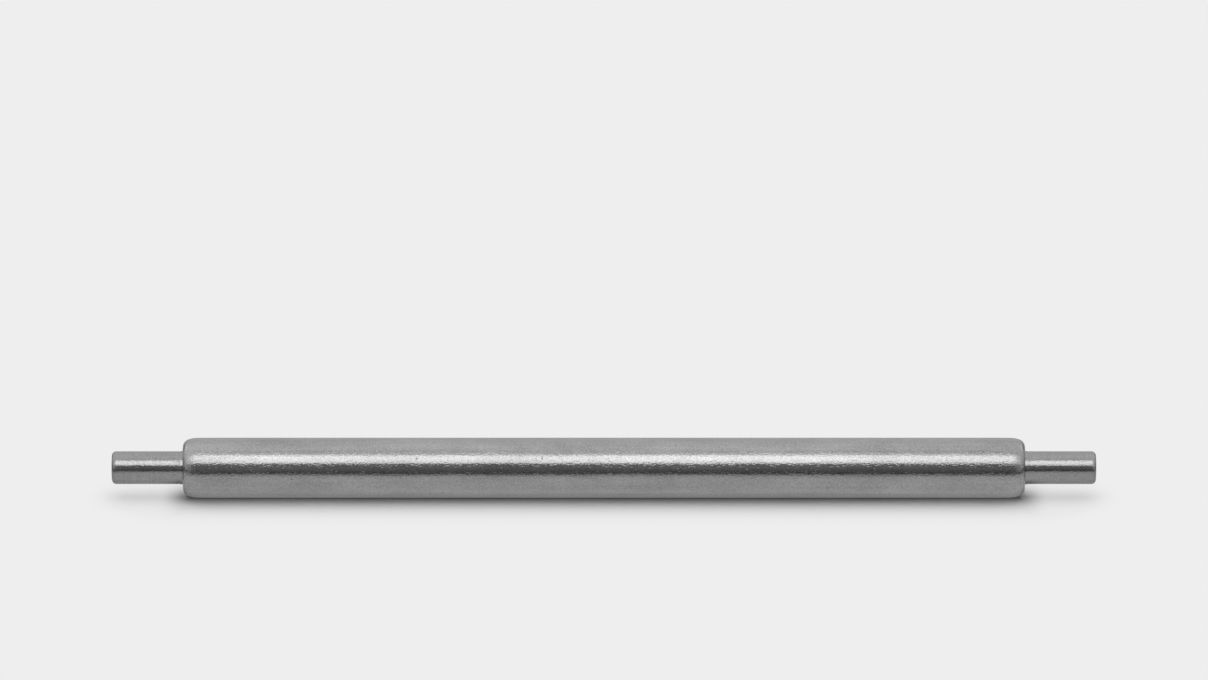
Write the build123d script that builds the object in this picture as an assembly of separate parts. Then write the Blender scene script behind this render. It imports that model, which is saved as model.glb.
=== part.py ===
from build123d import *
import math
import os

# A shoulderless watch spring bar for a 22 mm lug width.
# X runs along the bar and Z is up. The origin is on the bar's axis, half way along the sleeve.
# Sizes are in millimetres and angles in degrees.

# Sleeve: the outer tube, whose two ends are rolled inward to hold the pins
SLEEVE_LENGTH = 21.0
SLEEVE_RADIUS = 0.75
SLEEVE_WALL = 0.16
ROLL_SWEEP_RADIUS = 0.66  # the long curve where the rolling starts
ROLL_SWEEP_ANGLE = 20.0  # how far that curve turns towards the end
ROLL_INSIDE_RADIUS = 0.045  # the tight curve, measured inside the wall
LIP_EDGE_BREAK = 0.02  # the broken edge round the lip's hole

# Pivot pins: one turned piece at each end
TIP_RADIUS = 0.41
TIP_REACH = 1.78  # how far a tip stands out of the sleeve
TIP_CORNER_RADIUS = 0.11
TIP_DOME_RISE = 0.01
GROOVE_DEPTH = 0.008  # the fine turned line at the tip's root
GROOVE_WIDTH = 0.04
GROOVE_INSET = 0.06  # from the sleeve's end to the groove
GUIDE_RISE = 0.007  # the guide land stands this much above the tip
HEAD_LENGTH = 2.2
HEAD_FILLET = 0.03  # where the guide land meets the head
HEAD_REAR_CHAMFER = 0.03
SPIGOT_LENGTH = 1.3
SPIGOT_CHAMFER = 0.06

# Coil spring
WIRE_RADIUS = 0.08
SPRING_PITCH = 0.62  # the pitch aimed at, before it is evened out to whole turns
STEPS_PER_TURN = 4

# Clearances
LIP_CLEARANCE = 0.02  # guide land to lip, radially
HEAD_CLEARANCE = 0.02  # head to bore, radially
SPRING_CLEARANCE = 0.05  # spring to bore, radially
SPIGOT_CLEARANCE = 0.03  # spigot to spring, radially
SEAT_CLEARANCE = 0.01  # head to lip and spring to head, along the axis

# Worked out from the sizes above
end_x = SLEEVE_LENGTH / 2
bore_radius = SLEEVE_RADIUS - SLEEVE_WALL
sweep_turn = math.radians(ROLL_SWEEP_ANGLE)
roll_radius = SLEEVE_WALL + ROLL_INSIDE_RADIUS
roll_length = ROLL_SWEEP_RADIUS * math.sin(sweep_turn) + roll_radius * (1 - math.sin(sweep_turn))
roll_drop = ROLL_SWEEP_RADIUS * (1 - math.cos(sweep_turn)) + roll_radius * math.cos(sweep_turn)
lip_flat_radius = SLEEVE_RADIUS - roll_drop
guide_radius = TIP_RADIUS + GUIDE_RISE
lip_hole_radius = guide_radius + LIP_CLEARANCE
head_radius = bore_radius - HEAD_CLEARANCE
head_front_x = end_x - SLEEVE_WALL - SEAT_CLEARANCE
head_rear_x = head_front_x - HEAD_LENGTH
coil_radius = bore_radius - SPRING_CLEARANCE - WIRE_RADIUS
spigot_radius = coil_radius - WIRE_RADIUS - SPIGOT_CLEARANCE
coil_half_length = head_rear_x - SEAT_CLEARANCE - WIRE_RADIUS
coil_turns = max(1, round(2 * coil_half_length / SPRING_PITCH))


def closed_revolve(edges):
    """The solid that a closed outline in the XY plane makes when it turns about X."""
    return revolve(make_face(edges), axis=Axis.X)


def rolled_end():
    """The right end of the sleeve's section, from the outside round the lip to the bore."""
    sweep_centre = (end_x - roll_length, SLEEVE_RADIUS - ROLL_SWEEP_RADIUS)
    roll_centre = (end_x - roll_radius, lip_flat_radius)

    def on_arc(centre, radius, angle):
        return (centre[0] + radius * math.sin(angle), centre[1] + radius * math.cos(angle))

    def bent(centre, radius, first, last):
        middle = on_arc(centre, radius, (first + last) / 2)
        return ThreePointArc(on_arc(centre, radius, first), middle, on_arc(centre, radius, last))

    quarter = math.pi / 2
    outer_sweep = bent(sweep_centre, ROLL_SWEEP_RADIUS, 0, sweep_turn)
    outer_roll = bent(roll_centre, roll_radius, sweep_turn, quarter)
    inner_roll = bent(roll_centre, ROLL_INSIDE_RADIUS, quarter, sweep_turn)
    inner_sweep = bent(sweep_centre, ROLL_SWEEP_RADIUS - SLEEVE_WALL, sweep_turn, 0)
    lip = Polyline(
        outer_roll @ 1,
        (end_x, lip_hole_radius + LIP_EDGE_BREAK),
        (end_x - LIP_EDGE_BREAK, lip_hole_radius),
        (end_x - SLEEVE_WALL, lip_hole_radius),
        inner_roll @ 0,
    )
    return [outer_sweep, outer_roll, lip, inner_roll, inner_sweep]


def make_sleeve():
    right = rolled_end()
    left = [mirror(edge, about=Plane.YZ) for edge in right]
    outside_start = right[0] @ 0
    bore_end = right[-1] @ 1
    outside = Line((-outside_start.X, outside_start.Y), outside_start)
    bore = Line((-bore_end.X, bore_end.Y), bore_end)
    return closed_revolve([*right, outside, bore, *left])


def make_right_pin():
    tip_end_x = end_x + TIP_REACH
    groove_inner_x = end_x + GROOVE_INSET
    groove_outer_x = groove_inner_x + GROOVE_WIDTH
    groove_middle_x = (groove_inner_x + groove_outer_x) / 2
    corner_top = (tip_end_x - TIP_DOME_RISE - TIP_CORNER_RADIUS, TIP_RADIUS)
    corner_front = (tip_end_x - TIP_DOME_RISE, TIP_RADIUS - TIP_CORNER_RADIUS)
    corner = RadiusArc(corner_top, corner_front, TIP_CORNER_RADIUS)
    face_radius = TIP_RADIUS - TIP_CORNER_RADIUS
    dome_radius = (face_radius**2 + TIP_DOME_RISE**2) / (2 * TIP_DOME_RISE)
    dome = RadiusArc(corner_front, (tip_end_x, 0), dome_radius)
    groove = ThreePointArc(
        (groove_inner_x, TIP_RADIUS),
        (groove_middle_x, TIP_RADIUS - GROOVE_DEPTH),
        (groove_outer_x, TIP_RADIUS),
    )
    tip_side = Line(groove @ 1, corner_top)
    guide_end = (head_front_x + HEAD_FILLET, guide_radius)
    fillet = RadiusArc(guide_end, (head_front_x, guide_radius + HEAD_FILLET), HEAD_FILLET)
    guide = Polyline(guide_end, (groove_inner_x, guide_radius), (groove_inner_x, TIP_RADIUS))
    spigot_end_x = head_rear_x - SPIGOT_LENGTH
    back = Polyline(
        (tip_end_x, 0),
        (spigot_end_x, 0),
        (spigot_end_x, spigot_radius - SPIGOT_CHAMFER),
        (spigot_end_x + SPIGOT_CHAMFER, spigot_radius),
        (head_rear_x, spigot_radius),
        (head_rear_x, head_radius - HEAD_REAR_CHAMFER),
        (head_rear_x + HEAD_REAR_CHAMFER, head_radius),
        (end_x - roll_length, head_radius),
        (head_front_x, lip_flat_radius),
        (head_front_x, guide_radius + HEAD_FILLET),
    )
    return closed_revolve([groove, tip_side, corner, dome, back, fillet, guide])


def coil_point(turns):
    """A point of the spring's centreline, that many turns from its left end."""
    angle = 2 * math.pi * turns
    x = coil_half_length * (2 * turns / coil_turns - 1)
    return Vector(x, coil_radius * math.cos(angle), coil_radius * math.sin(angle))


def coil_direction(turns):
    """The centreline's direction at that point."""
    angle = 2 * math.pi * turns
    advance = 2 * coil_half_length / coil_turns
    round_speed = 2 * math.pi * coil_radius
    along = Vector(advance, -round_speed * math.sin(angle), round_speed * math.cos(angle))
    return along.normalized()


def coil_step(first, last):
    """Two arcs, tangent to each other and to the coil, from one place on the coil to a later one."""
    start, end = coil_point(first), coil_point(last)
    way_out, way_in = coil_direction(first), coil_direction(last)
    chord = end - start
    both = way_out + way_in
    square = 2 * (1 - way_out.dot(way_in))
    slope = 2 * chord.dot(both)
    reach = (math.sqrt(slope**2 + 4 * square * chord.dot(chord)) - slope) / (2 * square)
    joint = (start + way_out * reach + end - way_in * reach) / 2
    first_arc = TangentArc(start, joint, tangent=way_out)
    return [first_arc, TangentArc(joint, end, tangent=first_arc % 1)]


def make_spring():
    arcs = []
    for step in range(coil_turns * STEPS_PER_TURN):
        arcs += coil_step(step / STEPS_PER_TURN, (step + 1) / STEPS_PER_TURN)
    path = Wire(arcs)
    section = Plane(origin=path @ 0, z_dir=path % 0) * Circle(WIRE_RADIUS)
    return sweep(section, path=path), path


def least_coil_gap():
    """The least gap between one turn of the spring and the next, measured on points."""
    per_turn = 48
    here = coil_point(0)
    nearby = [coil_point(n / per_turn) for n in range(per_turn // 2, 2 * per_turn)]
    return min((point - here).length for point in nearby) - 2 * WIRE_RADIUS


def main():
    os.makedirs("parts", exist_ok=True)
    spring, path = make_spring()
    right_pin = make_right_pin()
    nodes = {
        "sleeve_tube": make_sleeve(),
        "left_pivot_pin": right_pin.rotate(Axis.Z, 180),
        "right_pivot_pin": right_pin,
        "coil_spring": spring,
    }
    for name, solid in nodes.items():
        export_step(solid, f"parts/{name}.step")
    wire_volume = math.pi * WIRE_RADIUS**2 * path.length
    print("spring turns", coil_turns, "least gap between turns", round(least_coil_gap(), 3))
    print("spring volume over its section times its length", round(spring.volume / wire_volume, 4))
    print("room between the pins' spigots", round(2 * (head_rear_x - SPIGOT_LENGTH), 2))


main()
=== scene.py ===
import math

import bmesh
import bpy
from mathutils import Matrix, Vector


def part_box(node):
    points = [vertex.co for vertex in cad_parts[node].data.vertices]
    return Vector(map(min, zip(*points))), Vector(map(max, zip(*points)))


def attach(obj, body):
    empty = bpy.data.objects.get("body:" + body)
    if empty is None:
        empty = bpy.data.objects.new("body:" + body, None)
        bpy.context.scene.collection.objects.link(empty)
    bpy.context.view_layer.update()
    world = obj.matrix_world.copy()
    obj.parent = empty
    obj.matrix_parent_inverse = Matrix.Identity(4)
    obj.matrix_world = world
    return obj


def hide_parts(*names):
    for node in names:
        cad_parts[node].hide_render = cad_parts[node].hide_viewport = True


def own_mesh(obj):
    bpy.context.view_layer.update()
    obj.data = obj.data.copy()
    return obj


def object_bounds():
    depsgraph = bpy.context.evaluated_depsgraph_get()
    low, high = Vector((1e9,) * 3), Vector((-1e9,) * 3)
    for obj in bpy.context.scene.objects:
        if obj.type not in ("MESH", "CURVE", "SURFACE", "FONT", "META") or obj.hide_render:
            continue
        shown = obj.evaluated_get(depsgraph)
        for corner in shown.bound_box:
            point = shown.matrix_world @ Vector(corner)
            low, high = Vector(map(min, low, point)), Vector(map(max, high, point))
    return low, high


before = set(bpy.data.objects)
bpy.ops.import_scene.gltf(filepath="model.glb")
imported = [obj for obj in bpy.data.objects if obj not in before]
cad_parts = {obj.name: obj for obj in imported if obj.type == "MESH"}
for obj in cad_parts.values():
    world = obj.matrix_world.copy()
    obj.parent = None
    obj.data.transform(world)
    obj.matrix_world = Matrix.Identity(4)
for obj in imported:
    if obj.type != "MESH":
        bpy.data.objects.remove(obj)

cad_low, cad_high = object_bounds()

# A spring bar for a watch strap: a sleeve with rolled ends, two sprung pins and the coil between them.
# Lengths are in metres, and the bar lies along X with its axis through the origin.
MM = 0.001
MICRON = 0.000001
QUARTER_TURN = math.pi / 2

# Sizes read from the frame, from the corners of each node's box
sleeve_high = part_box("sleeve_tube")[1]
pin_low, pin_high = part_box("right_pivot_pin")
spring_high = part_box("coil_spring")[1]
SLEEVE_END = sleeve_high.x
SLEEVE_RADIUS = sleeve_high.z
TIP_END = pin_high.x
HEAD_RADIUS = pin_high.z
SPIGOT_END = pin_low.x
SPRING_END = spring_high.x
SPRING_RADIUS = spring_high.z

# Sleeve's rolled end, as in the CAD
WALL = 0.16 * MM
SWEEP_RADIUS = 0.66 * MM
SWEEP_TURN = math.radians(20)
ROLL_RADIUS = 0.205 * MM
ROLLED_LENGTH = SWEEP_RADIUS * math.sin(SWEEP_TURN) + ROLL_RADIUS * (1 - math.sin(SWEEP_TURN))
ROLL_CENTRE_DROP = SWEEP_RADIUS * (1 - math.cos(SWEEP_TURN)) + ROLL_RADIUS * math.cos(SWEEP_TURN)
LIP_EDGE = 0.02 * MM
TAPER_LENGTH = 0.32 * MM
TAPER_DROP = 0.0035 * MM

# Pins, as in the CAD, but with a groove half as deep, because at full depth it shows too hard
TIP_RADIUS = 0.41 * MM
TIP_CORNER = 0.11 * MM
DOME_RISE = 0.01 * MM
GUIDE_RADIUS = 0.417 * MM
LIP_HOLE_RADIUS = 0.437 * MM
GROOVE_PLACE = 0.06 * MM
GROOVE_WIDTH = 0.04 * MM
GROOVE_DEPTH = 0.004 * MM
GROOVE_STEPS = 8
SEAT_GAP = 0.01 * MM
HEAD_LENGTH = 2.2 * MM
HEAD_FILLET = 0.03 * MM
HEAD_CHAMFER = 0.03 * MM
SPIGOT_RADIUS = 0.35 * MM
SPIGOT_CHAMFER = 0.06 * MM

# Spring
WIRE_RADIUS = 0.08 * MM
SPRING_TURNS = 26

# Mesh fineness
SEGMENTS = 192
RING_STEP = 0.25 * MM
WIRE_SIDES = 16
WIRE_STEPS_PER_TURN = 48
MERGE_DISTANCE = 0.01 * MICRON
SHARP_ANGLE = math.radians(35)

# Maps for baking: each strip's share of the height, outside and inside, and how much of it is filled
SLEEVE_MAP_SHARES = (0.45, 0.1)
PIN_MAP_SHARES = (0.75, 0.25)
MAP_FILL = 0.97

# The camera: a long lens, a little above the bar, which lies low in the frame
PHOTO_WIDTH_PX = 1208
PHOTO_HEIGHT_PX = 680
BAR_LEFT_PX = 111.5
BAR_RIGHT_PX = 1096.3
BAR_AXIS_PX = 467.7
CAMERA_ELEVATION = math.radians(18)
CAMERA_DISTANCE = 450 * MM
CLIP_START = CAMERA_DISTANCE / 20
CLIP_END = CAMERA_DISTANCE * 40
SENSOR_WIDTH = 36.0

# Tones of the set, on a scale where 1 is white
BACKGROUND = 0.855
FLOOR_COLOUR = 0.82
FLOOR_IN_METAL = 0.62
DARK_SHEET_TONE = 0.06
SKY_ON_FLOOR = 0.44
SKY_AT_HORIZON = 0.58
SKY_AT_ZENITH = 0.88

# Floor: where the bar's shadow blends into an even tone, and the painted shade close under the sleeve, in
# the paper's colour and in the tone that metal sees
FLOOR_SIZE = 4.0
SHADOW_START = 0.8 * MM
SHADOW_END = 2.6 * MM
# Painted shade in the paper's colour close under the sleeve: its darkest share, its width, and its fade at
# the sleeve's end
PAINTED_CONTACT_SHADE = 0.58
PAINTED_CONTACT_SHADE_WIDTH = 0.45 * MM
PAINTED_CONTACT_SHADE_FADE = 0.4 * MM
CONTACT_SHADE = 0.2
CONTACT_SHADE_WIDTH = 0.59 * MM

# Floor under the tips, lighter with painted light that fills the bar's shadow and with less painted shade in
# metal: its fades along the bar, from the sleeve's end, and across
UNDER_TIP_ALONG = (-0.1 * MM, 0.6 * MM)
UNDER_TIP_ACROSS = (1 * MM, 3 * MM)
TIP_SHADOW_PAINTED_FILL = 0.6
TIP_SHADE_FILL = 0.7

# The dark sheet on the floor: its window round the bar, and its share of darkness behind the bar
WINDOW_SHEET_SIZE = 0.8
WINDOW_LIFT = 0.01 * MM
WINDOW_MARGIN = 1 * MM
WINDOW_FADE = 9 * MM
BEHIND_BAR = (2 * MM, 9 * MM)
BEHIND_SHARE = 0.35

# The panels round the bar and the lamp above it
PANEL_DISTANCE = 0.4
PANEL_SIDE_FADE = 0.7
LAMP_POWER = 3.7
LAMP_SIZE = 1.1
LAMP_HEIGHT = 0.6
LAMP_AZIMUTH = 180
LAMP_ELEVATION = 80

# Steel: its mean brightness and roughness, where a fleck starts and is full, and a pit's flat share and tone
SLEEVE_LEVEL = 0.41
SLEEVE_ROUGHNESS = 0.13
PIN_LEVEL = 0.365
PIN_ROUGHNESS = 0.14
WIRE_LEVEL = 0.42
WIRE_ROUGHNESS = 0.25
FLECK_RANGE = (0.52, 0.70)
PIT_FLAT = 0.3
PIT_TONE = 0.55


def make_camera():
    """A camera that has the bar's two ends and its axis at their pixels in the photograph."""
    data = bpy.data.cameras.new("camera")
    camera = bpy.data.objects.new("camera", data)
    bpy.context.scene.collection.objects.link(camera)
    bpy.context.scene.camera = camera
    metres_per_px = (cad_high.x - cad_low.x) / (BAR_RIGHT_PX - BAR_LEFT_PX)
    field_width = PHOTO_WIDTH_PX * metres_per_px
    back = Vector((0, -math.cos(CAMERA_ELEVATION), math.sin(CAMERA_ELEVATION)))
    upward = Vector((0, math.sin(CAMERA_ELEVATION), math.cos(CAMERA_ELEVATION)))
    rise = (BAR_AXIS_PX - PHOTO_HEIGHT_PX / 2) * metres_per_px
    slide = (PHOTO_WIDTH_PX / 2 - (BAR_LEFT_PX + BAR_RIGHT_PX) / 2) * metres_per_px
    camera.location = back * CAMERA_DISTANCE + upward * rise + Vector((slide, 0, 0))
    camera.rotation_mode = "QUATERNION"
    camera.rotation_quaternion = (-back).to_track_quat("-Z", "Y")
    data.sensor_width = SENSOR_WIDTH
    data.lens = SENSOR_WIDTH * CAMERA_DISTANCE / field_width
    data.clip_start = CLIP_START
    data.clip_end = CLIP_END


def new_tree(owner):
    owner.use_nodes = True
    owner.node_tree.nodes.clear()
    return owner.node_tree


def add(tree, kind, inputs=(), **settings):
    """A new node, with its settings, and its inputs given as numbers or as other nodes' outputs."""
    node = tree.nodes.new("ShaderNode" + kind)
    for name, value in settings.items():
        setattr(node, name, value)
    for key, value in dict(inputs).items():
        if isinstance(value, bpy.types.NodeSocket):
            tree.links.new(value, node.inputs[key])
        else:
            node.inputs[key].default_value = value
    return node


def math_node(tree, operation, first, second=0.0, third=0.0):
    values = {0: first, 1: second, 2: third}
    return add(tree, "Math", values, operation=operation).outputs[0]


def remap(tree, value, start, end, low, high, kind="LINEAR"):
    """low where the value is at its start and high at its end, and held there beyond."""
    ends = {0: value, 1: start, 2: end, 3: low, 4: high}
    return add(tree, "MapRange", ends, interpolation_type=kind).outputs[0]


def smooth(tree, value, start, end, low=0.0, high=1.0):
    return remap(tree, value, start, end, low, high, "SMOOTHSTEP")


def grey(tree, level):
    return add(tree, "CombineColor", {0: level, 1: level, 2: level}).outputs[0]


def make_world():
    """Even light: one level for the camera and glass, a graded one for metal, another for the floor."""
    world = bpy.data.worlds.new("studio")
    bpy.context.scene.world = world
    tree = new_tree(world)
    path = add(tree, "LightPath")
    seen = math_node(tree, "ADD", path.outputs["Is Camera Ray"], path.outputs["Is Transmission Ray"])
    height = add(tree, "SeparateXYZ", {0: add(tree, "TexCoord").outputs["Generated"]}).outputs[2]
    sky = remap(tree, height, 0.0, 1.0, SKY_AT_HORIZON, SKY_AT_ZENITH)
    lit = add(tree, "Background", {"Color": (1, 1, 1, 1), "Strength": SKY_ON_FLOOR})
    mirrored = add(tree, "Background", {"Color": (1, 1, 1, 1), "Strength": sky})
    shown = add(tree, "Background", {"Color": (BACKGROUND, BACKGROUND, BACKGROUND, 1)})
    glossy = path.outputs["Is Glossy Ray"]
    mixed = add(tree, "MixShader", {0: glossy, 1: lit.outputs[0], 2: mirrored.outputs[0]})
    mixed = add(tree, "MixShader", {0: seen, 1: mixed.outputs[0], 2: shown.outputs[0]})
    add(tree, "OutputWorld", {"Surface": mixed.outputs[0]})
    world.cycles.sampling_method = "NONE"


def plane(name, width, height, matrix):
    """A flat sheet in its own XY plane, put in place by a matrix, as part of the set."""
    mesh = bpy.data.meshes.new(name)
    x, y = width / 2, height / 2
    mesh.from_pydata([(-x, -y, 0), (x, -y, 0), (x, y, 0), (-x, y, 0)], [], [(0, 1, 2, 3)])
    sheet = bpy.data.objects.new(name, mesh)
    bpy.context.scene.collection.objects.link(sheet)
    sheet.matrix_world = matrix
    return sheet


def spot_on(sheet):
    """A new material on the sheet, its tree, and the x and y of a point on the sheet."""
    material = bpy.data.materials.new(sheet.name)
    sheet.data.materials.append(material)
    tree = new_tree(material)
    place = add(tree, "SeparateXYZ", {0: add(tree, "TexCoord").outputs["Object"]})
    return tree, place.outputs[0], place.outputs[1]


def distance_from(tree, x, y):
    squares = math_node(tree, "MULTIPLY_ADD", x, x, math_node(tree, "MULTIPLY", y, y))
    return math_node(tree, "SQRT", squares)


def floor_seen(tree, x, y, under_tip):
    """The camera's floor: paper with the bar's shadow near the bar, painted shade in its colour close under
    the sleeve, painted light that fills the shadow under the tips, and an even tone further off.
    """
    past_end = math_node(tree, "MAXIMUM", math_node(tree, "SUBTRACT", x, SLEEVE_END), 0.0)
    far = smooth(tree, distance_from(tree, past_end, y), SHADOW_START, SHADOW_END)
    # Painted light: under the tips more of the floor glows at the even tone, which fills the bar's shadow
    # there
    even = math_node(tree, "MAXIMUM", far, math_node(tree, "MULTIPLY", under_tip, TIP_SHADOW_PAINTED_FILL))
    # Painted shade: the paper's colour is darker close under the sleeve and fades out at the sleeve's ends
    dark = smooth(tree, y, 0.0, PAINTED_CONTACT_SHADE_WIDTH, PAINTED_CONTACT_SHADE, 1.0)
    dark = math_node(tree, "MAXIMUM", dark, smooth(tree, x, SLEEVE_END - PAINTED_CONTACT_SHADE_FADE, SLEEVE_END))
    colour = grey(tree, math_node(tree, "MULTIPLY", dark, FLOOR_COLOUR))
    paper = add(tree, "BsdfDiffuse", {"Color": colour, "Roughness": 0.0})
    tone = add(tree, "Emission", {"Color": (BACKGROUND, BACKGROUND, BACKGROUND, 1), "Strength": 1.0})
    return add(tree, "MixShader", {0: even, 1: paper.outputs[0], 2: tone.outputs[0]}).outputs[0]


def floor_in_metal(tree, y, under_tip):
    """Metal's floor: an even glowing tone, with painted shade that makes it darker close under the sleeve
    and less of it under the tips.
    """
    # Painted shade: the glow that metal sees is darker close under the sleeve, and lifted again under the
    # tips
    shade = remap(tree, y, 0.0, CONTACT_SHADE_WIDTH, CONTACT_SHADE, 1.0)
    lifted = math_node(tree, "MULTIPLY", under_tip, TIP_SHADE_FILL)
    shade = math_node(tree, "MULTIPLY_ADD", math_node(tree, "SUBTRACT", 1.0, shade), lifted, shade)
    level = math_node(tree, "MULTIPLY", shade, FLOOR_IN_METAL)
    return add(tree, "Emission", {"Color": (1, 1, 1, 1), "Strength": level}).outputs[0]


def make_floor():
    """A pale floor that carries the bar, with one look for the camera and one for metal."""
    floor = plane("floor", FLOOR_SIZE, FLOOR_SIZE, Matrix.Translation((0, 0, -SLEEVE_RADIUS)))
    tree, x, y = spot_on(floor)
    x = math_node(tree, "ABSOLUTE", x)
    y = math_node(tree, "ABSOLUTE", y)
    # Where the floor under the tips gets painted light and less painted shade
    along_start, along_end = UNDER_TIP_ALONG
    under_tip = smooth(tree, x, SLEEVE_END + along_start, SLEEVE_END + along_end)
    under_tip = math_node(tree, "MULTIPLY", under_tip, smooth(tree, y, *UNDER_TIP_ACROSS, 1.0, 0.0))
    seen = floor_seen(tree, x, y, under_tip)
    mirrored = floor_in_metal(tree, y, under_tip)
    glossy = add(tree, "LightPath").outputs["Is Glossy Ray"]
    surface = add(tree, "MixShader", {0: glossy, 1: seen, 2: mirrored})
    add(tree, "OutputMaterial", {"Surface": surface.outputs[0]})


def facing(azimuth, elevation, distance):
    """A place on a sphere round the bar, turned to face it. Azimuth 0 is in front, 90 on the right."""
    a, e = math.radians(azimuth), math.radians(elevation)
    out = Vector((math.sin(a) * math.cos(e), -math.cos(a) * math.cos(e), math.sin(e)))
    return Matrix.Translation(out * distance) @ out.to_track_quat("Z", "Y").to_matrix().to_4x4()


def glow(sheet, amount, strength):
    """The sheet shines where its amount is 1 and is clear where it is 0. Only polished metal sees it."""
    tree = sheet.data.materials[0].node_tree
    light = add(tree, "Emission", {"Color": (1, 1, 1, 1), "Strength": strength})
    clear = add(tree, "BsdfTransparent")
    mixed = add(tree, "MixShader", {0: amount, 1: clear.outputs[0], 2: light.outputs[0]})
    add(tree, "OutputMaterial", {"Surface": mixed.outputs[0]})
    sheet.visible_camera = False
    sheet.visible_diffuse = False
    sheet.visible_shadow = False
    sheet.visible_transmission = False


def panel(name, azimuth, low, high, tones, edges, shares, turn, half_width=70):
    """A glowing sheet that faces the bar from a low to a high elevation.

    It is graded from its lower edge to its middle by two tones, and edges are its faded shares there and at
    the top. shares are how much it shines in the middle and at the sides, and turn the two azimuths between
    which one becomes the other. Angles are in degrees."""
    height = PANEL_DISTANCE * math.tan(math.radians((high - low) / 2))
    width = PANEL_DISTANCE * math.tan(math.radians(half_width))
    sheet = plane(name, 2 * width, 2 * height, facing(azimuth, (low + high) / 2, PANEL_DISTANCE))
    tree, x, y = spot_on(sheet)
    x = math_node(tree, "ABSOLUTE", x)
    turn_start, turn_end = (PANEL_DISTANCE * math.tan(math.radians(angle)) for angle in turn)
    amount = smooth(tree, y, -height, height * (edges[0] * 2 - 1))
    fades = [
        smooth(tree, y, height * (1 - edges[1] * 2), height, 1.0, 0.0),
        smooth(tree, x, turn_start, turn_end, *shares),
        smooth(tree, x, width * PANEL_SIDE_FADE, width, 1.0, 0.0),
    ]
    for fade in fades:
        amount = math_node(tree, "MULTIPLY", amount, fade)
    glow(sheet, amount, remap(tree, y, -height, 0.0, *tones))


def make_window():
    """A dark sheet on the floor with a soft window round the bar, so that metal has a dark horizon."""
    place = Matrix.Translation((0, 0, WINDOW_LIFT - SLEEVE_RADIUS))
    sheet = plane("window", WINDOW_SHEET_SIZE, WINDOW_SHEET_SIZE, place)
    tree, x, y = spot_on(sheet)
    share = smooth(tree, y, *BEHIND_BAR, 1.0, BEHIND_SHARE)
    x = math_node(tree, "SUBTRACT", math_node(tree, "ABSOLUTE", x), TIP_END - WINDOW_MARGIN)
    y = math_node(tree, "SUBTRACT", math_node(tree, "ABSOLUTE", y), WINDOW_MARGIN)
    x = math_node(tree, "MAXIMUM", x, 0.0)
    y = math_node(tree, "MAXIMUM", y, 0.0)
    dark = smooth(tree, distance_from(tree, x, y), 0.0, WINDOW_FADE)
    glow(sheet, math_node(tree, "MULTIPLY", dark, share), DARK_SHEET_TONE)


def make_set():
    """Softboxes, dark cards and a window sheet that only metal sees."""
    panel("softbox", 0, 35.0, 68.3, tones=(1.45, 1.95), edges=(0.02, 0.04), shares=(1.0, 0.2),
          turn=(2, 34), half_width=54)
    panel("front_card", 0, 0, 34, tones=(0.08, 0.20), edges=(0.01, 0.01), shares=(1.0, 0.58),
          turn=(8, 42))
    panel("frame", 0, 81.0, 84.5, tones=(0.5, 0.5), edges=(0.2, 0.2), shares=(1.0, 0.0),
          turn=(10, 40))
    panel("back_card", 180, 0, 22, tones=(0.03, 0.15), edges=(0.01, 0.3), shares=(0.02, 0.9),
          turn=(18, 38), half_width=50)
    panel("back_softbox", 180, 30, 60, tones=(1.0, 1.1), edges=(0.1, 0.3), shares=(0.0, 0.9),
          turn=(18, 38), half_width=55)
    for name, azimuth in (("left_card", -90), ("right_card", 90)):
        panel(name, azimuth, 0, 12, tones=(0.2, 0.5), edges=(0.01, 0.5), shares=(1.0, 1.0),
              turn=(10, 20), half_width=40)
    make_window()


def make_lamp():
    """A broad lamp overhead, which lights the floor and which metal doesn't see."""
    lamp_data = bpy.data.lights.new("overhead", "AREA")
    lamp_data.shape = "DISK"
    lamp_data.size = LAMP_SIZE
    lamp_data.energy = LAMP_POWER
    lamp = bpy.data.objects.new("overhead", lamp_data)
    bpy.context.scene.collection.objects.link(lamp)
    lamp.matrix_world = facing(LAMP_AZIMUTH, LAMP_ELEVATION, LAMP_HEIGHT)
    lamp.visible_glossy = False


def arc(centre, radius, first, last, steps):
    """Points on an arc, with angles measured from the radial direction towards the bar's end."""
    points = []
    for step in range(steps + 1):
        angle = first + (last - first) * step / steps
        points.append((centre[0] + radius * math.sin(angle), centre[1] + radius * math.cos(angle)))
    return points


def stretch(start, end, step):
    """Evenly spaced points on a line, without its two ends."""
    count = max(1, round(math.dist(start, end) / step))
    points = []
    for n in range(1, count):
        share = n / count
        points.append((start[0] + (end[0] - start[0]) * share, start[1] + (end[1] - start[1]) * share))
    return points


def rings_round(profile):
    """A ring of points round the bar's axis for each (x, radius) point of a profile."""
    vertices = []
    for x, radius in profile:
        for n in range(SEGMENTS):
            angle = 2 * math.pi * n / SEGMENTS
            vertices.append((x, radius * math.cos(angle), radius * math.sin(angle)))
    return vertices


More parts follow.
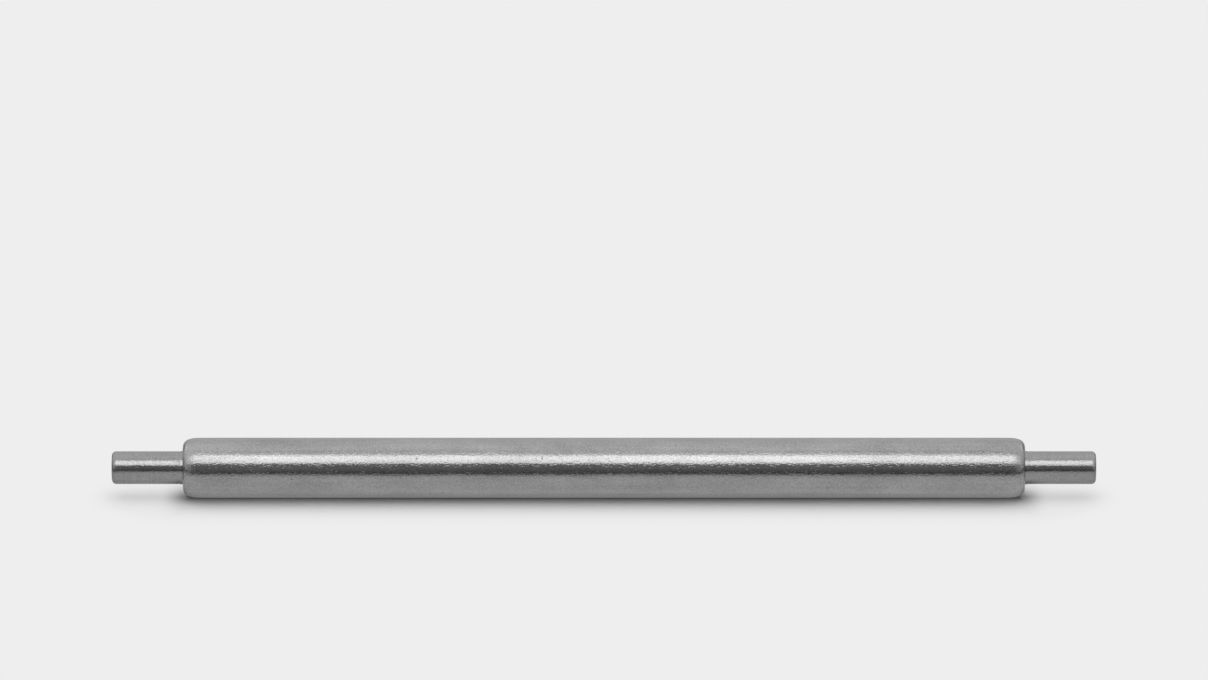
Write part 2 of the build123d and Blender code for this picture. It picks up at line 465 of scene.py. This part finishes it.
def lathe(name, profile, strips, material):
    """A body turned from a profile of (x, radius) points. One that starts on the axis ends there.

    strips are the last point of each run of the profile that lies side by side with the others on the map
    for baking, with the run's share of the map's height."""
    faces, corners = [], []
    along = [0.0]
    for here, there in zip(profile, profile[1:] + profile[:1]):
        along.append(along[-1] + math.dist(here, there))
    rings = len(profile)
    base, first = 0.0, 0
    for last, share in strips:
        for ring in range(first, last):
            here, there = ring * SEGMENTS, (ring + 1) % rings * SEGMENTS
            length = along[last] - along[first]
            u0, u1 = ((along[n] - along[first]) / length for n in (ring, ring + 1))
            for n in range(SEGMENTS):
                m = (n + 1) % SEGMENTS
                v0, v1 = (base + share * MAP_FILL * k / SEGMENTS for k in (n, n + 1))
                faces.append((here + n, here + m, there + m, there + n))
                corners += [(u0, v0), (u0, v1), (u1, v1), (u1, v0)]
        base += share
        first = last
    piece = finish_mesh(name, rings_round(profile), faces, corners, material)
    if profile[0][1] == 0:
        close_ends(piece)
    return piece


def close_ends(piece):
    """Merges the first and the last ring of a mesh, which have no radius, into a point each."""
    shape = bmesh.new()
    shape.from_mesh(piece.data)
    bmesh.ops.remove_doubles(shape, verts=shape.verts, dist=MERGE_DISTANCE)
    shape.to_mesh(piece.data)
    shape.free()


def finish_mesh(name, vertices, faces, corners, material):
    """A piece with smooth shading, sharp edges and a material. corners, if any, are its map for baking."""
    mesh = bpy.data.meshes.new(name)
    mesh.from_pydata(vertices, [], faces)
    if corners:
        layer = mesh.uv_layers.new(name="OFBake")
        layer.data.foreach_set("uv", [value for corner in corners for value in corner])
    mesh.polygons.foreach_set("use_smooth", [True] * len(mesh.polygons))
    mesh.set_sharp_from_angle(angle=SHARP_ANGLE)
    mesh.materials.append(material)
    piece = bpy.data.objects.new(name, mesh)
    bpy.context.scene.collection.objects.link(piece)
    return piece


def rolled_end():
    """The sleeve's right end as profile points: taper, long sweep, roll, lip and inside."""
    sweep_centre = (SLEEVE_END - ROLLED_LENGTH, SLEEVE_RADIUS - SWEEP_RADIUS)
    roll_centre = (SLEEVE_END - ROLL_RADIUS, SLEEVE_RADIUS - ROLL_CENTRE_DROP)
    outside = arc(sweep_centre, SWEEP_RADIUS, 0, SWEEP_TURN, steps=12)
    outside += arc(roll_centre, ROLL_RADIUS, SWEEP_TURN, QUARTER_TURN, steps=20)[1:]
    edge_centre = (SLEEVE_END - LIP_EDGE, LIP_HOLE_RADIUS + LIP_EDGE)
    lip = arc(edge_centre, LIP_EDGE, QUARTER_TURN, math.pi, steps=6)
    lip.append((SLEEVE_END - WALL, LIP_HOLE_RADIUS))
    inside = arc(roll_centre, ROLL_RADIUS - WALL, QUARTER_TURN, SWEEP_TURN, steps=8)
    inside += arc(sweep_centre, SWEEP_RADIUS - WALL, SWEEP_TURN, 0, steps=8)[1:]
    start_x = sweep_centre[0]
    eased = []
    for x, radius in outside:
        share = min(1, (x - start_x + TAPER_LENGTH) / TAPER_LENGTH)
        eased.append((x, radius - TAPER_DROP * share))
    taper = [(start_x - TAPER_LENGTH, SLEEVE_RADIUS)]
    return taper + eased + lip + inside


def make_sleeve(material):
    """The tube, whose profile starts and ends at the middle of its outside."""
    right = rolled_end()
    left = [(-x, radius) for x, radius in reversed(right)]
    outside = stretch(left[-1], right[0], RING_STEP)
    half = len(outside) // 2
    bore = stretch(right[-1], left[0], RING_STEP * 4)
    lip = [point[0] for point in right].index(SLEEVE_END - WALL)
    profile = outside[half:] + right + bore + left + outside[:half]
    right_end = len(outside) - half + lip
    left_end = right_end + 2 * (len(right) - lip) + len(bore) - 1
    outer, inner = SLEEVE_MAP_SHARES
    strips = ((right_end, outer), (left_end, inner), (len(profile), outer))
    piece = lathe("sleeve", profile, strips, material)
    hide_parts("sleeve_tube")
    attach(piece, "sleeve")


def tip_profile():
    """The tip's faintly domed face, from its middle, and its rounded corner."""
    face_radius = TIP_RADIUS - TIP_CORNER
    dome_radius = (face_radius**2 + DOME_RISE**2) / (2 * DOME_RISE)
    dome_turn = math.asin(face_radius / dome_radius)
    dome_centre = (TIP_END - dome_radius, 0)
    dome = arc(dome_centre, dome_radius, QUARTER_TURN, QUARTER_TURN - dome_turn, steps=16)
    corner_centre = (TIP_END - DOME_RISE - TIP_CORNER, face_radius)
    corner = arc(corner_centre, TIP_CORNER, QUARTER_TURN, 0, steps=14)
    return [(TIP_END, 0)] + dome[1:-1] + corner


def groove_profile():
    """The fine groove between the tip and its guide land."""
    outer_edge = SLEEVE_END + GROOVE_PLACE + GROOVE_WIDTH
    points = []
    for step in range(GROOVE_STEPS + 1):
        share = step / GROOVE_STEPS
        depth = GROOVE_DEPTH * math.sin(math.pi * share)
        points.append((outer_edge - GROOVE_WIDTH * share, TIP_RADIUS - depth))
    return points


def head_profile():
    """What is inside the sleeve: the shoulder, the head and the spigot, to the middle of its end."""
    front = SLEEVE_END - WALL - SEAT_GAP
    rear = front - HEAD_LENGTH
    fillet_centre = (front + HEAD_FILLET, GUIDE_RADIUS + HEAD_FILLET)
    fillet = arc(fillet_centre, HEAD_FILLET, math.pi, 3 * QUARTER_TURN, steps=6)
    return fillet + [
        (front, SLEEVE_RADIUS - ROLL_CENTRE_DROP),
        (SLEEVE_END - ROLLED_LENGTH, HEAD_RADIUS),
        (rear + HEAD_CHAMFER, HEAD_RADIUS),
        (rear, HEAD_RADIUS - HEAD_CHAMFER),
        (rear, SPIGOT_RADIUS),
        (SPIGOT_END + SPIGOT_CHAMFER, SPIGOT_RADIUS),
        (SPIGOT_END, SPIGOT_RADIUS - SPIGOT_CHAMFER),
        (SPIGOT_END, 0),
    ]


def pin_profile():
    """The right pin's profile, from the middle of its tip to the middle of its spigot's end."""
    tip = tip_profile()
    groove = groove_profile()
    side = stretch(tip[-1], groove[0], RING_STEP / 2)
    guide = [(SLEEVE_END + GROOVE_PLACE, GUIDE_RADIUS)]
    return tip + side + groove + guide + head_profile()


def make_pin(side, material):
    """side is 1 for the right pin and -1 for the left."""
    name = "right" if side > 0 else "left"
    profile = [(side * x, radius) for x, radius in pin_profile()]
    root = [radius for _, radius in profile].index(HEAD_RADIUS)
    shares = PIN_MAP_SHARES
    if side > 0:
        profile.reverse()
        root = len(profile) - 1 - root
        shares = shares[::-1]
    strips = ((root, shares[0]), (len(profile) - 1, shares[1]))
    piece = lathe(name + "_pin", profile, strips, material)
    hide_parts(name + "_pivot_pin")
    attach(piece, name + "_pin")


def wire_rings(side, steps):
    """Rings of points round the wire, from the middle of the coil to one end. Its left end is at angle 0."""
    coil_radius = SPRING_RADIUS - WIRE_RADIUS
    coil_end = SPRING_END - WIRE_RADIUS
    advance = 2 * coil_end / SPRING_TURNS
    turns = SPRING_TURNS / 2
    slope = math.atan(advance / (2 * math.pi * coil_radius))
    first_angle = math.pi * SPRING_TURNS
    vertices = []
    for step in range(steps + 1):
        turn = step / steps * turns * side
        angle = first_angle + 2 * math.pi * turn
        centre = Vector((advance * turn, coil_radius * math.cos(angle), coil_radius * math.sin(angle)))
        outward = Vector((0, math.cos(angle), math.sin(angle)))
        along = Vector((0, -math.sin(angle), math.cos(angle))) * math.cos(slope)
        along.x = math.sin(slope)
        across = along.cross(outward)
        for n in range(WIRE_SIDES):
            around = 2 * math.pi * n / WIRE_SIDES
            offset = outward * math.cos(around) + across * math.sin(around)
            vertices.append(centre + offset * WIRE_RADIUS)
    return vertices


def wire_faces(side, steps):
    """The wire's sides and its two ends, in the order of corners that turns them outward."""
    faces = []
    for step in range(steps):
        here, there = step * WIRE_SIDES, (step + 1) * WIRE_SIDES
        for n in range(WIRE_SIDES):
            m = (n + 1) % WIRE_SIDES
            faces.append((here + n, there + n, there + m, here + m)[::-side])
    start = tuple(range(WIRE_SIDES))
    end = tuple(range(steps * WIRE_SIDES, (steps + 1) * WIRE_SIDES))
    return faces + [start[::-side], end[::side]]


def make_half_spring(side, material):
    """Half of the coil, from the middle to one end."""
    name = "right" if side > 0 else "left"
    steps = SPRING_TURNS * WIRE_STEPS_PER_TURN // 2
    shape = (wire_rings(side, steps), wire_faces(side, steps))
    piece = finish_mesh(name + "_half_spring", *shape, [], material)
    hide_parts("coil_spring")
    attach(piece, "spring_core")
    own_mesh(piece)


def in_mm(tree, scale=(1, 1, 1)):
    """The piece's own coordinates in millimetres, each axis scaled."""
    place = add(tree, "TexCoord").outputs["Object"]
    scaled = [s / MM for s in scale]
    return add(tree, "Mapping", {"Vector": place, "Scale": scaled}).outputs[0]


def centred(tree, value):
    return math_node(tree, "SUBTRACT", value, 0.5)


def cloud(tree, place, scale, detail=2.0, roughness=0.55):
    """Soft noise between 0 and 1. The larger the scale is, the finer the noise."""
    settings = {"Vector": place, "Scale": scale, "Detail": detail, "Roughness": roughness}
    return add(tree, "TexNoise", settings).outputs["Fac"]


def noise(tree, place, scale, detail=2.0, roughness=0.55):
    """Soft noise round 0."""
    return centred(tree, cloud(tree, place, scale, detail, roughness))


def pits(tree, place, scale, share, size):
    """Small round pits: 1 inside a pit, 0 elsewhere. Only that share of the cells has one."""
    cells = add(tree, "TexVoronoi", {"Vector": place, "Scale": scale})
    chosen = add(tree, "SeparateColor", {0: cells.outputs["Color"]}).outputs[0]
    chosen = math_node(tree, "LESS_THAN", chosen, share)
    near = smooth(tree, cells.outputs["Distance"], size * PIT_FLAT, size, 1.0, 0.0)
    return math_node(tree, "MULTIPLY", near, chosen)


def flecks(tree):
    """Short shallow dents that lie lengthwise, from 0 beside them to 1 in their middle."""
    clouds = cloud(tree, in_mm(tree, (0.45, 1, 1)), 24.0, detail=1.0)
    return smooth(tree, clouds, *FLECK_RANGE)


def total(tree, *parts):
    """The sum of the parts, each a value and the amount to scale it by."""
    value, amount = parts[0]
    result = math_node(tree, "MULTIPLY", value, amount)
    for value, amount in parts[1:]:
        result = math_node(tree, "MULTIPLY_ADD", value, amount, result)
    return result


def steel(tree, level, rough, microns):
    """Bare steel, from its brightness, its roughness and the height of its surface in microns."""
    normal = add(tree, "Bump", {"Height": microns, "Strength": 1.0, "Distance": MICRON}).outputs[0]
    inputs = {"Base Color": grey(tree, level), "Metallic": 1.0, "Roughness": rough, "Normal": normal}
    shader = add(tree, "BsdfPrincipled", inputs)
    add(tree, "OutputMaterial", {"Surface": shader.outputs[0]})


def new_material(name):
    material = bpy.data.materials.new(name)
    return material, new_tree(material)


def tumbled(tree, place):
    """Marks of tumbling, on sleeve and pins alike: mottle and grain for the tone, relief and flecks."""
    mottle = noise(tree, place, 20.0, roughness=0.6)
    grain = noise(tree, place, 34.0, detail=1.0)
    relief = noise(tree, in_mm(tree, (1.7, 1, 1)), 16.0, roughness=0.6)
    return mottle, grain, relief, flecks(tree)


def sleeve_material():
    """Drawn and tumbled steel tube, with faint lengthwise lines, patches, slow waves and small pits."""
    material, tree = new_material("sleeve_steel")
    even = in_mm(tree)
    mottle, grain, relief, fleck = tumbled(tree, even)
    drawn = noise(tree, in_mm(tree, (0.02, 1, 1)), 14.0)
    patch = noise(tree, in_mm(tree, (0.8, 1, 1)), 3.2)
    wave = noise(tree, in_mm(tree, (0.5, 1, 1)), 1.1, detail=1.0)
    pit = pits(tree, even, 4.5, share=0.10, size=0.13)
    microns = total(tree, (relief, 3.6), (fleck, -1.35), (drawn, 0.8), (patch, 1.0), (wave, 9.0),
                    (pit, -5.0))
    level = total(tree, (mottle, 0.20), (grain, 0.25), (drawn, 0.10), (patch, 0.08), (wave, 0.18))
    level = math_node(tree, "ADD", level, SLEEVE_LEVEL)
    level = math_node(tree, "MULTIPLY", level, remap(tree, pit, 0.0, 1.0, 1.0, PIT_TONE))
    rough = math_node(tree, "ADD", total(tree, (patch, 0.1), (relief, 0.3)), SLEEVE_ROUGHNESS)
    steel(tree, level, rough, microns)
    return material


def pin_material():
    """Turned and tumbled steel, with fine lines and broader rings round the pin, and patches."""
    material, tree = new_material("pin_steel")
    even = in_mm(tree)
    mottle, grain, relief, fleck = tumbled(tree, even)
    lines = noise(tree, in_mm(tree, (1, 0.04, 0.04)), 26.0, roughness=0.7)
    rings = noise(tree, in_mm(tree, (1, 0.15, 0.15)), 8.0, detail=1.0)
    patch = noise(tree, even, 3.5)
    microns = total(tree, (relief, 3.0), (fleck, -0.9), (lines, 0.8), (rings, 0.8), (patch, 1.5))
    level = total(tree, (mottle, 0.18), (grain, 0.20), (lines, 0.05), (rings, 0.03), (patch, 0.06))
    level = math_node(tree, "ADD", level, PIN_LEVEL)
    rough = math_node(tree, "MULTIPLY_ADD", patch, 0.12, PIN_ROUGHNESS)
    steel(tree, level, rough, microns)
    return material


def spring_material():
    """Drawn spring wire: smoother and duller, with a faint mottle."""
    material, tree = new_material("spring_steel")
    mottle = noise(tree, in_mm(tree), 18.0)
    level = math_node(tree, "MULTIPLY_ADD", mottle, 0.15, WIRE_LEVEL)
    rough = math_node(tree, "MULTIPLY_ADD", mottle, 0.2, WIRE_ROUGHNESS)
    microns = math_node(tree, "MULTIPLY", mottle, 0.8)
    steel(tree, level, rough, microns)
    return material


make_camera()
make_world()
make_floor()
make_set()
make_lamp()
make_sleeve(sleeve_material())
pin_steel = pin_material()
spring_steel = spring_material()
for side in (-1, 1):
    make_pin(side, pin_steel)
    make_half_spring(side, spring_steel)

bpy.context.scene.view_settings.view_transform = "Standard"
